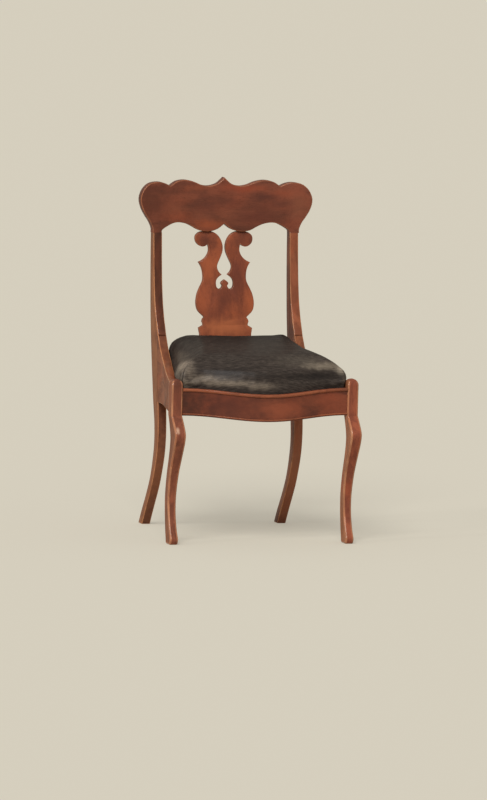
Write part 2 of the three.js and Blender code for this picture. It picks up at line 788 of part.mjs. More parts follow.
function padSideRing([drawn, up], inset, drop) {
  return seatOutline(inset + drawn * drawnIn).map(
    (p) => new THREE.Vector3(p.x, p.y, frameTop + (seatEdge(p.y) - drop - frameTop) * up),
  );
}

function flatRing(inset, z) {
  return seatOutline(inset).map((p) => new THREE.Vector3(p.x, p.y, z));
}

function padRings(inset, drop) {
  return [
    ...crownShares.map((share) => crownRing(share, inset, drop)),
    ...padSideShares.slice(1).map((shares) => padSideRing(shares, inset, drop)),
  ];
}

function seatCover() {
  const outside = [...padRings(0, 0), flatRing(0, coverBottom), flatRing(turnUnder, coverBottom)];
  const inside = [
    ...padRings(coverThickness, coverThickness),
    flatRing(coverThickness, coverBottom + coverThickness),
    flatRing(turnUnder, coverBottom + coverThickness),
  ];
  return loft([...inside, ...outside.reverse()]);
}

function stuffing() {
  const skin = coverThickness + glueLine;
  const reach = frontWidth;
  const below = box(-reach, reach, -reach, chairHeight, 0, stuffingBottom);
  return cut(loft(padRings(skin, skin).reverse()), below);
}

// Beads on the face of the front rail
const topBeadHeight = 8;
const topBeadProud = 4;
const lowerBeadHeight = 4;
const lowerBeadProud = 2.5;
const beadTurns = 6;

function bead(height, proud, middle) {
  const turns = steps(Math.PI / 2, -Math.PI / 2, beadTurns);
  return loft(
    frontRailXs.map((x) =>
      turns.map(
        (turn) =>
          new THREE.Vector3(
            x,
            railFace(x) - glueLine - proud * Math.cos(turn),
            middle - railDip * bell(x) + (height / 2) * Math.sin(turn),
          ),
      ),
    ),
  );
}

// Finishes, named for what the pieces are made of
const mahogany = new THREE.MeshStandardMaterial({ color: 0x8a4b33, roughness: 0.42, flatShading: true });
const figured = new THREE.MeshStandardMaterial({ color: 0x7a3f2d, roughness: 0.38, flatShading: true });
const polishedEdge = new THREE.MeshStandardMaterial({ color: 0xa9663f, roughness: 0.35, flatShading: true });
const ash = new THREE.MeshStandardMaterial({ color: 0xb89a6c, roughness: 0.7, flatShading: true });
const horsehair = new THREE.MeshStandardMaterial({ color: 0x2a2523, roughness: 0.5, flatShading: true });
const curledHair = new THREE.MeshStandardMaterial({ color: 0x3b2f28, roughness: 0.95, flatShading: true });
const linen = new THREE.MeshStandardMaterial({ color: 0xa08a66, roughness: 0.9, flatShading: true });
const jute = new THREE.MeshStandardMaterial({ color: 0x9c7c52, roughness: 0.9, flatShading: true });
const iron = new THREE.MeshStandardMaterial({
  color: 0x55504a, roughness: 0.55, metalness: 0.9, flatShading: true,
});

// Assembly
const chair = new THREE.Group();

function place(name, geometry, material) {
  const mesh = new THREE.Mesh(geometry, material);
  mesh.name = name;
  chair.add(mesh);
  return mesh;
}

// A piece of the right side and its mirror image on the left
function pair(name, geometry, material) {
  place(`right_${name}`, geometry, material);
  place(`left_${name}`, geometry, material).scale.x = -1;
}

const post = joined(alongX(postSide, postInner, postSpan / 2), crestTenon(0));
pair("back_post", cut(post, rearSideTenon(glueLine), backTenon(glueLine)), mahogany);

const sideRail = joined(common(sideRailElevation, sideRailPlan), rearSideTenon(0), frontSideTenon(0));
pair(
  "side_rail",
  cut(sideRail, screwHole("front_block_side_screw"), screwHole("rear_block_side_screw")),
  mahogany,
);

const frontLeg = common(
  alongX(frontLegSide, blockInner, frontWidth / 2), alongY(frontLegFace, -frontWidth, frontWidth),
);
pair("front_leg", cut(frontLeg, frontTenon(glueLine), frontSideTenon(glueLine)), mahogany);

const frontRailBoard = common(
  alongZ(frontRailPlan, 0, chairHeight), alongY(frontRailElevation, -frontWidth, frontWidth),
);
const seatPocket = alongZ(seatOutline(-seatPlay), ledgeHeight, chairHeight);
const frontRailBlank = joined(frontRailBoard, ...bothSides(frontTenon(0)));
place(
  "front_rail",
  cut(frontRailBlank, seatPocket, ...bothSides(screwHole("front_block_rail_screw"))),
  mahogany,
);
const topBeadMiddle = railTop - topBeadHeight / 2;
const lowerBeadMiddle = railBottom + lowerBeadHeight;
place("front_rail_top_bead", bead(topBeadHeight, topBeadProud, topBeadMiddle), polishedEdge);
place("front_rail_lower_bead", bead(lowerBeadHeight, lowerBeadProud, lowerBeadMiddle), polishedEdge);

const backRailBoard = backBar(-backRailHalf, backRailHalf, 0, backRailThickness, railBottom, railTop);
place(
  "back_rail",
  cut(joined(backRailBoard, ...bothSides(backTenon(0))), ...bothSides(screwHole("rear_block_rail_screw"))),
  mahogany,
);
const shoeFront = backRailFront(railTop);
const coveEdge = steps(0, Math.PI / 2, beadTurns).map((turn) =>
  at(shoeFront + shoeCove * (1 - Math.cos(turn)), shoeTop - shoeCove * (1 - Math.sin(turn))),
);
const shoeBack = shoeFront + shoeDepth;
const shoeFoot = railTop + glueLine;
const shoeSide = [at(shoeFront, shoeFoot), ...coveEdge, at(shoeBack, shoeTop), at(shoeBack, shoeFoot)];
place("splat_shoe", cut(alongX(shoeSide, -backRailHalf, backRailHalf), footTenon(glueLine)), mahogany);

const splatBlank = alongY(splatFace, splatBase - splatThickness / 2, splatBase + splatThickness / 2);
place(
  "lyre_splat",
  joined(leaned(splatBlank, splatSlope, splatFoot), armTenon(1, 0), armTenon(-1, 0), footTenon(0)),
  figured,
);

const crestBoard = common(
  alongY([...crestHalf, ...mirrored(crestHalf)], 0, frontWidth + chairHeight),
  leaned(alongZ(crestPlan, 0, chairHeight + overrun), crestLean, postHeight),
);
place(
  "crest_rail",
  cut(crestBoard, ...bothSides(crestTenon(glueLine)), armTenon(1, glueLine), armTenon(-1, glueLine)),
  figured,
);

const frontBlock = alongZ(frontBlockPlan, blockLow, ledgeHeight);
pair(
  "front_corner_block",
  cut(frontBlock, screwHole("front_block_rail_screw"), screwHole("front_block_side_screw")),
  ash,
);
const rearBlock = common(
  alongZ(rearBlockPlan, blockLow, ledgeHeight),
  backBar(0, frontWidth, -frontWidth, -glueLine, blockLow - overrun, ledgeHeight + overrun),
);
pair(
  "rear_corner_block",
  cut(rearBlock, screwHole("rear_block_rail_screw"), screwHole("rear_block_side_screw")),
  ash,
);
for (const name of Object.keys(screws)) pair(name, drivenScrew(...screws[name], 0, 0), iron);

const ledgerFrom = blockDepth + blockLeg + ledgerGap;
const ledgerTo = rearEdge - blockLeg - ledgerGap;
const ledgerPlan = sideBand(innerThickness + glueLine, innerThickness + ledgerWidth, ledgerFrom, ledgerTo);
pair("seat_ledger", alongZ(ledgerPlan, ledgeHeight - ledgerHeight, ledgeHeight), ash);
const backLedgerHalf = innerX(rearEdge) - blockLeg - ledgerGap;
place(
  "back_seat_ledger",
  backBar(-backLedgerHalf, backLedgerHalf, -ledgerWidth, -glueLine, ledgeHeight - ledgerHeight, ledgeHeight),
  ash,
);

place("seat_frame_front", seatFrameAcross(-frontWidth, frontInnerY), ash);
place("seat_frame_back", seatFrameAcross(backInnerY, chairHeight), ash);
pair("seat_frame", seatFrameSide(), ash);
for (const lane of [-1, 0, 1]) {
  place(`webbing_length_${lane + 2}`, lengthStrap(lane), jute);
  place(`webbing_cross_${lane + 2}`, crossStrap(lane), jute);
}
place(
  "base_cloth",
  alongZ(seatOutline(baseClothInset), webbingTop + glueLine, webbingTop + glueLine + baseClothThickness),
  linen,
);
place("seat_stuffing", stuffing(), curledHair);
place("seat_cover", seatCover(), horsehair);

// The chair stands centred over the origin
const bounds = new THREE.Box3().setFromObject(chair);
chair.position.y = -(bounds.min.y + bounds.max.y) / 2;

export default chair;
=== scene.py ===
import json
import math

import bmesh
import bpy
from mathutils import Matrix, Vector
from mathutils.bvhtree import BVHTree

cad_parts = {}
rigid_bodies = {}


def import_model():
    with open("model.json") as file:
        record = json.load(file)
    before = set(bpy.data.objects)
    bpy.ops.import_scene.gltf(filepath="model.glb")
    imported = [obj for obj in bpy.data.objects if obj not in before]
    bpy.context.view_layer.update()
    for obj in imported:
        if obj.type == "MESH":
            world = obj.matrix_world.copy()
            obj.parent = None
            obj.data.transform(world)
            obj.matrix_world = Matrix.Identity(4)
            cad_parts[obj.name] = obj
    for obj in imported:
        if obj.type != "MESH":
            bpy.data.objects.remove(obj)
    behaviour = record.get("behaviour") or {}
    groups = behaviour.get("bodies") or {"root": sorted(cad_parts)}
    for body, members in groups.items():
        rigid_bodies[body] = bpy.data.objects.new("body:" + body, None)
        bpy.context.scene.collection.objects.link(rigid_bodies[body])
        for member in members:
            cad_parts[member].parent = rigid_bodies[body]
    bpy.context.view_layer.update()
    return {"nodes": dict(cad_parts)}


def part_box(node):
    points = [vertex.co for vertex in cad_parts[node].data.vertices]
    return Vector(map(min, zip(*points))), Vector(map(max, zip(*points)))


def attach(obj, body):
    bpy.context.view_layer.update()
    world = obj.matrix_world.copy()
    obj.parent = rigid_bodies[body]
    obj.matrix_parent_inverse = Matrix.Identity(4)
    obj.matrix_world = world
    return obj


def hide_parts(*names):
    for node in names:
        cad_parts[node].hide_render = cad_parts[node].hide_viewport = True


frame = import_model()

# A lyre back side chair in polished mahogany, with a drop-in seat in black horsehair cloth.
# Metres, Z up, the chair faces -Y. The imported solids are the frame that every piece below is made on.
solids = frame["nodes"]

# Back posts. Each stile and rear leg is one piece of mahogany, sawn to a long S and squared up. The rubbed
# arrises have worn pale. The left post's outer side and the right post's front are painted in a lit tone and
# their other faces in a shaded tone, and painted light lifts the shaded rear legs.


def srgb(red, green, blue):
    parts = [c / 255 for c in (red, green, blue)]
    return (*[c / 12.92 if c < 0.04045 else ((c + 0.055) / 1.055) ** 2.4 for c in parts], 1)


def add_node(tree, kind, links=None, **values):
    node = tree.nodes.new(kind)
    for name, value in values.items():
        setattr(node, name, value)
    for socket, source in (links or {}).items():
        entry = node.inputs[socket]
        if isinstance(source, bpy.types.NodeSocket):
            tree.links.new(source, entry)
        else:
            entry.default_value = source
    return node


def sums(tree, operation, *values):
    node = add_node(tree, "ShaderNodeMath", dict(enumerate(values)), operation=operation)
    return node.outputs[0]


def vector_sums(tree, operation, *values):
    return add_node(tree, "ShaderNodeVectorMath", dict(enumerate(values)), operation=operation).outputs


def stretched(tree, vector, scale):
    return vector_sums(tree, "MULTIPLY", vector, scale)[0]


def noise(tree, vector, detail=2.0, distortion=0.0):
    links = {"Vector": vector, "Scale": 1.0, "Detail": detail, "Distortion": distortion}
    return add_node(tree, "ShaderNodeTexNoise", links).outputs["Fac"]


def ramp(tree, value, low, high):
    links = {"Value": value, "From Min": low, "From Max": high}
    return add_node(tree, "ShaderNodeMapRange", links, interpolation_type="SMOOTHSTEP").outputs["Result"]


def mixed(tree, share, first, second):
    links = {"Factor": share, 6: first, 7: second}
    return add_node(tree, "ShaderNodeMix", links, data_type="RGBA").outputs[2]


def new_group(name, entries, exits):
    group = bpy.data.node_groups.new(name, "ShaderNodeTree")
    for label, kind, value in entries:
        socket = group.interface.new_socket(label, in_out="INPUT", socket_type=kind)
        socket.default_value = value
    for label, kind in exits:
        group.interface.new_socket(label, in_out="OUTPUT", socket_type=kind)
    return group, group.nodes.new("NodeGroupInput").outputs, group.nodes.new("NodeGroupOutput").inputs


VALUE, COLOUR, VECTOR = "NodeSocketFloat", "NodeSocketColor", "NodeSocketVector"

# The grain runs along the Z of the vector that comes in
grain, entry, leave = new_group(
    "mahogany grain",
    [
        ("Vector", VECTOR, (0, 0, 0)),
        ("Light", COLOUR, srgb(150, 84, 56)),
        ("Dark", COLOUR, srgb(84, 45, 34)),
        ("Glow", COLOUR, srgb(172, 78, 46)),
        ("Figure", VALUE, 0.5),
    ],
    [("Color", COLOUR), ("Roughness", VALUE), ("Height", VALUE)],
)
fibre = noise(grain, stretched(grain, entry["Vector"], (420, 420, 14)), 3.0)
broad = noise(grain, stretched(grain, entry["Vector"], (34, 34, 9)), 2.0, 1.2)
cloud = noise(grain, stretched(grain, entry["Vector"], (13, 17, 8)), 2.0, 0.8)
pore = noise(grain, stretched(grain, entry["Vector"], (1500, 1500, 70)), 1.0)
ribbon = ramp(grain, broad, 0.34, 0.66)
tone = sums(grain, "MULTIPLY_ADD", fibre, 0.7, sums(grain, "MULTIPLY_ADD", ribbon, 0.55, -0.12))
wood = mixed(grain, tone, entry["Dark"], entry["Light"])
warm = sums(grain, "MULTIPLY", ramp(grain, cloud, 0.45, 0.7), entry["Figure"])
wood = mixed(grain, warm, wood, entry["Glow"])
shade = sums(grain, "MULTIPLY", ramp(grain, cloud, 0.48, 0.3), entry["Figure"])
wood = mixed(grain, shade, wood, entry["Dark"])
open_pore = ramp(grain, pore, 0.6, 0.7)
wood = mixed(grain, sums(grain, "MULTIPLY", open_pore, 0.45), wood, srgb(52, 26, 20))
grain.links.new(wood, leave["Color"])
grain.links.new(sums(grain, "MULTIPLY_ADD", broad, 0.16, 0.27), leave["Roughness"])
ridges = sums(grain, "MULTIPLY", fibre, 0.35)
grain.links.new(sums(grain, "MULTIPLY_ADD", open_pore, -0.6, ridges), leave["Height"])


def new_material(name):
    material = bpy.data.materials.new(name)
    material.use_nodes = True
    tree = material.node_tree
    shader = tree.nodes["Principled BSDF"]
    place = tree.nodes.new("ShaderNodeTexCoord").outputs["Object"]
    return material, tree, shader, place


def turned(tree, place, turn=(0, 0, 0), shift=(0, 0, 0)):
    links = {"Vector": place, "Rotation": [math.radians(t) for t in turn], "Location": shift}
    return add_node(tree, "ShaderNodeMapping", links).outputs[0]


def laid(tree, vector, light, dark, glow, figure):
    node = tree.nodes.new("ShaderNodeGroup")
    node.node_tree = grain
    tree.links.new(vector, node.inputs["Vector"])
    for label, colour in (("Light", light), ("Dark", dark), ("Glow", glow)):
        node.inputs[label].default_value = srgb(*colour)
    node.inputs["Figure"].default_value = figure
    return node.outputs


def surface(tree, shader, colour, roughness, height, strength, distance):
    tree.links.new(colour, shader.inputs["Base Color"])
    tree.links.new(roughness, shader.inputs["Roughness"])
    bump = add_node(tree, "ShaderNodeBump", {"Height": height, "Strength": strength, "Distance": distance})
    tree.links.new(bump.outputs[0], shader.inputs["Normal"])


# French polish: the gloss is all in the coat, and thinner in the open pores
def polished(tree, shader, colour, roughness, height, coat=0.25):
    surface(tree, shader, colour, roughness, height, 0.25, 0.0004)
    shader.inputs["Specular IOR Level"].default_value = 0.0
    tree.links.new(sums(tree, "MULTIPLY_ADD", height, 0.3, coat), shader.inputs["Coat Weight"])
    shader.inputs["Coat Roughness"].default_value = 0.24


# A soft cloud of colour in the wood, centred on a point of the piece. A list of clouds gives each one's
# centre, its reach along each axis, its tint and its strength.
cloud_mask, entry, leave = new_group(
    "cloud in the wood",
    [("Vector", VECTOR, (0, 0, 0)), ("Centre", VECTOR, (0, 0, 0)), ("Reach", VECTOR, (0.03, 0.03, 0.03))],
    [("Mask", VALUE)],
)
away = vector_sums(cloud_mask, "SUBTRACT", entry["Vector"], entry["Centre"])[0]
away = vector_sums(cloud_mask, "DIVIDE", away, entry["Reach"])[0]
away = vector_sums(cloud_mask, "LENGTH", away)["Value"]
ragged = noise(cloud_mask, stretched(cloud_mask, entry["Vector"], (70, 70, 70)), 3.0)
away = sums(cloud_mask, "ADD", away, sums(cloud_mask, "MULTIPLY_ADD", ragged, 0.9, -0.45))
cloud_mask.links.new(ramp(cloud_mask, away, 1.2, 0.0), leave["Mask"])


def cloud_share(tree, place, centre, reach, strength):
    node = tree.nodes.new("ShaderNodeGroup")
    node.node_tree = cloud_mask
    tree.links.new(place, node.inputs["Vector"])
    node.inputs["Centre"].default_value = centre
    node.inputs["Reach"].default_value = reach
    return sums(tree, "MULTIPLY", node.outputs["Mask"], strength)


def clouded(tree, place, colour, clouds):
    for centre, reach, tint, strength in clouds:
        colour = mixed(tree, cloud_share(tree, place, centre, reach, strength), colour, srgb(*tint))
    return colour


def mahogany(name, light, dark, glow, figure=0.5, turn=(0, 0, 0), clouds=(), coat=0.25):
    material, tree, shader, place = new_material(name)
    out = laid(tree, turned(tree, place, turn), light, dark, glow, figure)
    colour = clouded(tree, place, out["Color"], clouds)
    polished(tree, shader, colour, out["Roughness"], out["Height"], coat)
    return material


# Lit and shaded tones of the same board, painted by the way each face looks: one on faces that look along -X,
# the other on the rest
def lit_and_shaded_tones(name, across, facing, glow, figure=0.4, shift=(0, 0, 0), clouds=()):
    material, tree, shader, place = new_material(name)
    vector = turned(tree, place, shift=shift)
    side = laid(tree, vector, *across, glow, figure)
    front = laid(tree, vector, *facing, glow, figure)
    normal = tree.nodes.new("ShaderNodeNewGeometry").outputs["Normal"]
    along = add_node(tree, "ShaderNodeSeparateXYZ", {0: normal}).outputs["X"]
    mask = ramp(tree, along, -0.45, -0.75)
    colour = clouded(tree, place, mixed(tree, mask, front["Color"], side["Color"]), clouds)
    polished(tree, shader, colour, side["Roughness"], side["Height"])
    return material


trees = {}


def solid_tree(name):
    if name not in trees:
        mesh = solids[name].data
        corners = [v.co for v in mesh.vertices]
        trees[name] = BVHTree.FromPolygons(corners, [p.vertices for p in mesh.polygons])
    return trees[name]


def near_neighbour(name, point, reach=0.0007):
    return any(solid_tree(other).find_nearest(point, reach)[0] for other in solids if other != name)


def copied(name, source, *materials):
    piece = bpy.data.objects.new(name, source.data.copy())
    bpy.context.scene.collection.objects.link(piece)
    piece.data.materials.clear()
    for material in materials:
        piece.data.materials.append(material)
    return piece


def sliced(mesh, at, across, **clear):
    whole = mesh.verts[:] + mesh.edges[:] + mesh.faces[:]
    bmesh.ops.bisect_plane(mesh, geom=whole, plane_co=at, plane_no=across, **clear)


def pick_only(piece):
    bpy.ops.object.select_all(action="DESELECT")
    piece.select_set(True)
    bpy.context.view_layer.objects.active = piece


doubles = 0.00005


# A copy of a solid with its loose triangles merged and its free edges rounded, the joints left square.
# Edges along the axis named by across stay sharp, and flat is a height at which the copy is cut off.
def rounded(name, radius, materials, segments=3, body="chair_frame", loose=False, across=None, flat=None,
            merge=doubles):
    piece = copied("polished_" + name, solids[name], *materials)
    mesh = bmesh.new()
    mesh.from_mesh(piece.data)
    bmesh.ops.remove_doubles(mesh, verts=mesh.verts, dist=merge)
    bmesh.ops.dissolve_limit(mesh, angle_limit=math.radians(0.6), verts=mesh.verts, edges=mesh.edges)
    if flat:
        sliced(mesh, (0, 0, flat), (0, 0, 1), clear_outer=True)
        bmesh.ops.contextual_create(mesh, geom=[e for e in mesh.edges if e.is_boundary])
    weight = mesh.edges.layers.float.new("bevel_weight_edge")
    for edge in mesh.edges:
        first, second = (v.co for v in edge.verts)
        if flat and min(first.z, second.z) > flat - 0.0001:
            continue
        run = (second - first).normalized()
        crosswise = across is not None and abs(run[across]) > 0.9 and first.z > 0.01
        if edge.is_convex and not crosswise and edge.calc_face_angle(0) > math.radians(30):
            if loose or not near_neighbour(name, (first + second) / 2):
                edge[weight] = 1.0
    mesh.to_mesh(piece.data)
    mesh.free()
    for face in piece.data.polygons:
        face.material_index = 0
        face.use_smooth = True
    bevel = piece.modifiers.new("arris", "BEVEL")
    bevel.limit_method = "WEIGHT"
    bevel.width = radius
    bevel.segments = segments
    bevel.use_clamp_overlap = False
    bevel.harden_normals = True
    bevel.material = len(materials) - 1
    pick_only(piece)
    bpy.ops.object.modifier_apply(modifier="arris")
    bpy.ops.object.shade_smooth_by_angle(angle=math.radians(35))
    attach(piece, body)
    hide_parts(name)
    return piece


# The arris colour is worn pale and also carries a painted highlight along the edges
arris = mahogany("worn and highlit arris", (190, 132, 90), (138, 84, 55), (178, 108, 68), 0.4, coat=0.45)
left_post = lit_and_shaded_tones(
    "left post", ((152, 98, 62), (112, 66, 42)), ((98, 56, 40), (66, 38, 29)), (122, 64, 43),
    clouds=[
        ((-0.175, 0.12, 0.478), (0.05, 0.05, 0.03), (104, 59, 42), 0.6),
        # Painted light on the rear leg, lifting its shaded faces
        ((-0.175, 0.16, 0.14), (0.06, 0.2, 0.2), (138, 86, 58), 0.8),
    ],
)
right_post = lit_and_shaded_tones(
    "right post", ((98, 54, 38), (64, 35, 26)), ((154, 90, 62), (110, 62, 43)), (158, 82, 52),
    # Its cloud is painted light on the rear leg, lifting its shaded faces
    shift=(0.3, 0, 0), clouds=[((0.175, 0.16, 0.14), (0.06, 0.2, 0.2), (146, 92, 66), 0.8)],
)
worn_edge = 0.002
rounded("left_back_post", worn_edge, [left_post, arris], across=0)
rounded("right_back_post", worn_edge, [right_post, arris], across=0)

# Side rails. Each is sawn from thick mahogany, bowed in plan and swept up into its stile. It is tenoned into
# the leg block in front and the post behind. The left one is darker where it meets them, with painted shade
# where it runs onto the block's rolled top.
swept = mahogany(
    "swept rail", (144, 88, 58), (102, 58, 41), (152, 80, 50), 0.5, turn=(90, 0, 0),
    clouds=[
        ((-0.176, 0.12, 0.484), (0.024, 0.04, 0.04), (98, 56, 41), 0.95),
        # Painted shade where the rail runs onto the left block's rolled top
        ((-0.218, -0.18, 0.39), (0.02, 0.04, 0.02), (84, 50, 38), 0.75),
    ],
)
for side in ("left", "right"):
    rounded(side + "_side_rail", worn_edge, [swept, arris], across=0)

# Front legs. Each is sawn from a mahogany block in two directions, then rounded over with a spokeshave, so
# that the knee catches the light, and a highlight is painted on the left knee. The block above it ends in a
# rolled top, domed over the rails.
# The leg arris is worn pale and also carries a painted highlight along the edges
leg_edge_wear_and_highlight = mahogany("leg arris, worn and highlit", (186, 128, 92), (136, 84, 58), (178, 106, 70), 0.4, coat=0.6)
# Both front legs are painted in a lit tone on faces that look along -X and a shaded tone on the rest
left_leg = lit_and_shaded_tones(
    "left leg", ((150, 92, 62), (104, 60, 42)), ((150, 86, 62), (94, 54, 42)), (156, 82, 56),
    shift=(0.1, 0, 0), clouds=[
        # Painted shade on the left block's rolled top and on its front
        ((-0.216, -0.2, 0.398), (0.02, 0.04, 0.024), (72, 42, 33), 0.85),
        ((-0.223, -0.214, 0.36), (0.02, 0.03, 0.05), (96, 56, 43), 0.6),
        # A painted highlight on the left knee
        ((-0.229, -0.25, 0.284), (0.006, 0.02, 0.01), (206, 164, 136), 0.85),
    ],
)
right_leg = lit_and_shaded_tones(
    # The right leg's inner face is painted in a lit tone, lighter than its front
    "right leg", ((178, 114, 78), (130, 82, 56)), ((158, 86, 60), (108, 58, 44)), (162, 80, 52),
    shift=(0.6, 0, 0),
)
shaved, dome_foot = 0.0042, 0.3915
block_middle = (0.223, -0.1972)
# Each row of the dome: its height, and the shares of the block's width and depth that it keeps
dome = (
    (0.3956, 0.964, 0.932), (0.399, 0.864, 0.821), (0.4019, 0.707, 0.673),
    (0.4041, 0.5, 0.488), (0.4054, 0.28, 0.3), (0.406, 0.09, 0.125),
)
for side, wood in (("left", left_leg), ("right", right_leg)):
    leg = rounded(side + "_front_leg", shaved, [wood, leg_edge_wear_and_highlight], segments=4, across=0, flat=dome_foot)
    centre = Vector((math.copysign(block_middle[0], leg.data.vertices[0].co.x), block_middle[1], 0))
    mesh = bmesh.new()
    mesh.from_mesh(leg.data)
    mesh.normal_update()
    top = next(f for f in mesh.faces if f.normal.z > 0.99 and f.calc_center_median().z > dome_foot - 0.0005)
    rim = top.verts[:]
    foot = [v.co.xy.to_3d() - centre for v in rim]
    below = [next(f for f in loop.edge.link_faces if f != top).material_index for loop in top.loops]
    bmesh.ops.delete(mesh, geom=[top], context="FACES_ONLY")
    for z, wide, deep in dome:
        row = [mesh.verts.new(centre + Vector((p.x * wide, p.y * deep, z))) for p in foot]
        for k in range(len(rim)):
            face = mesh.faces.new((rim[k - 1], rim[k], row[k], row[k - 1]))
            face.material_index = below[k - 1] if z < 0.404 else 0
        rim = row
    mesh.faces.new(rim)
    mesh.to_mesh(leg.data)
    mesh.free()
    bpy.ops.object.shade_smooth_by_angle(angle=math.radians(40))
    evened = leg.modifiers.new("evened", "WEIGHTED_NORMAL")
    evened.keep_sharp = True
    bpy.ops.object.modifier_apply(modifier="evened")

# Front rail. One mahogany board, serpentine in plan and dipped in the middle, tenoned into both leg blocks.
# A rounded bead is glued along its top edge and a thinner one along the bottom.
low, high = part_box("front_rail")
rail_face = (low.y, (low.z + high.z) / 2)
front_wood = mahogany(
    "front rail", (124, 66, 46), (80, 45, 35), (134, 65, 43), 0.5, turn=(0, 90, 0),
    clouds=[
        ((-0.21, *rail_face), (0.1, 0.2, 0.06), (60, 37, 30), 0.9),
        ((-0.09, *rail_face), (0.1, 0.2, 0.05), (78, 43, 35), 0.7),
        ((0.03, rail_face[0], rail_face[1] - 0.012), (0.07, 0.2, 0.03), (144, 76, 52), 0.7),
        ((0.16, rail_face[0], rail_face[1] + 0.01), (0.05, 0.2, 0.03), (136, 70, 48), 0.6),
    ],
)
bead_wood = mahogany("bead", (150, 86, 58), (108, 61, 43), (156, 84, 55), 0.3, turn=(0, 90, 0))
rounded("front_rail", 0.001, [front_wood])
for name in ("front_rail_top_bead", "front_rail_lower_bead"):
    rounded(name, 0.0004, [bead_wood], segments=2)

# Back rail and the shoe on top of it, plain straight mahogany between the posts. The shoe has a cove along
# its front and takes the foot of the splat. The cushion hides both from the front.
back_wood = mahogany("back rail", (136, 76, 54), (80, 45, 34), (150, 74, 48), 0.5, turn=(0, 90, 0))
rounded("back_rail", 0.0015, [back_wood, arris])
rounded("splat_shoe", 0.001, [back_wood, arris])

# Lyre splat. A thin mahogany board with crotch figure, fretted out with two scroll arms, a bud and a waisted
# body. It is tenoned into the crest rail above and the shoe below.
low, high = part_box("lyre_splat")
height = high.z - low.z
splat_wood = mahogany(
    "splat", (148, 78, 51), (106, 56, 41), (164, 87, 53), 0.5,
    clouds=[
        ((0, 0.2, low.z + 0.5 * height), (0.035, 0.5, 0.045), (92, 49, 38), 0.5),
        ((0.03, 0.2, low.z + 0.67 * height), (0.035, 0.5, 0.09), (100, 52, 40), 0.65),
        ((-0.045, 0.2, low.z + 0.7 * height), (0.03, 0.5, 0.04), (164, 88, 54), 0.6),
        ((-0.045, 0.2, low.z + 0.89 * height), (0.04, 0.5, 0.04), (86, 47, 37), 0.85),
        ((0.045, 0.2, low.z + 0.9 * height), (0.035, 0.5, 0.045), (94, 51, 39), 0.65),
        ((0, 0.2, low.z + 0.27 * height), (0.09, 0.5, 0.03), (174, 99, 62), 0.8),
        ((-0.06, 0.2, low.z + 0.43 * height), (0.025, 0.5, 0.05), (164, 86, 54), 0.5),
        ((0.066, 0.2, low.z + 0.43 * height), (0.02, 0.5, 0.05), (164, 86, 52), 0.5),
    ],
)
# The board arris is worn pale and also carries a painted highlight along the edges
board_edge_wear_and_highlight = mahogany("board arris, worn and highlit", (158, 98, 66), (108, 62, 44), (150, 84, 54), 0.4, coat=0.4)
rounded("lyre_splat", 0.0012, [splat_wood, board_edge_wear_and_highlight], segments=2, across=1)

# Crest rail. A thick mahogany board, hollowed in plan and sawn to a pointed middle, round shoulders and
# round ears. Its grain runs across, and it sits on the tenons of both stiles.
low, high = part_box("crest_rail")
depth, middle = low.y, (low.z + high.z) / 2
crest_wood = mahogany(
    "crest rail", (122, 67, 48), (88, 49, 37), (128, 65, 45), 0.5, turn=(0, 90, 0),
    clouds=[
        ((-0.19, depth, middle + 0.012), (0.06, 0.5, 0.05), (84, 46, 34), 0.75),
        ((-0.045, depth, middle - 0.003), (0.045, 0.5, 0.022), (84, 46, 36), 0.6),
        ((0.1, depth, middle + 0.02), (0.06, 0.5, 0.016), (76, 42, 34), 0.75),
        ((0.05, depth, middle + 0.042), (0.07, 0.5, 0.014), (134, 62, 40), 0.65),
        ((0.15, depth, middle + 0.03), (0.05, 0.5, 0.012), (136, 68, 45), 0.5),
        ((-0.04, depth, middle - 0.05), (0.06, 0.5, 0.018), (152, 78, 49), 0.65),
        ((0.08, depth, middle - 0.03), (0.06, 0.5, 0.03), (98, 50, 38), 0.6),
        ((0.19, depth, middle), (0.04, 0.5, 0.04), (116, 68, 48), 0.6),
        ((0, depth, middle + 0.006), (0.045, 0.5, 0.018), (90, 49, 38), 0.55),
        ((0.137, depth, middle + 0.004), (0.045, 0.5, 0.014), (88, 48, 37), 0.55),
        ((-0.132, depth, middle - 0.008), (0.04, 0.5, 0.02), (124, 69, 49), 0.5),
        ((-0.07, depth, middle + 0.042), (0.05, 0.5, 0.012), (136, 72, 47), 0.5),
        ((-0.12, depth, middle - 0.03), (0.05, 0.5, 0.02), (142, 72, 48), 0.6),
    ],
)
rounded("crest_rail", worn_edge, [crest_wood, board_edge_wear_and_highlight], across=1, merge=0.0005)

# Corner blocks, ledgers and the frame of the drop-in seat, all in ash left off the saw and plane. The blocks
# are screwed and the ledgers glued inside the rails, and the seat frame rests loose on them.
for name, turn, words in (
    ("ash across", (0, 90, 0), ("block", "frame_front", "frame_back", "back_seat_ledger")),
    ("ash fore and aft", (90, 0, 0), ("left_seat_", "right_seat_")),
):
    material, tree, shader, place = new_material(name)
    vector = turned(tree, place, turn)
    rings = noise(tree, stretched(tree, vector, (160, 160, 6)), 3.0, 0.6)
    stain = noise(tree, stretched(tree, vector, (20, 20, 12)), 3.0)
    colour = mixed(tree, ramp(tree, rings, 0.35, 0.65), srgb(150, 120, 80), srgb(196, 166, 122))
    colour = mixed(tree, ramp(tree, stain, 0.5, 0.75), colour, srgb(132, 100, 66))
    roughness = sums(tree, "MULTIPLY_ADD", rings, 0.2, 0.6)
    surface(tree, shader, colour, roughness, rings, 0.4, 0.0005)
    for node, solid in solids.items():
        if any(word in node for word in words) and not node.endswith("screw"):
            solid.data.materials.clear()
            solid.data.materials.append(material)

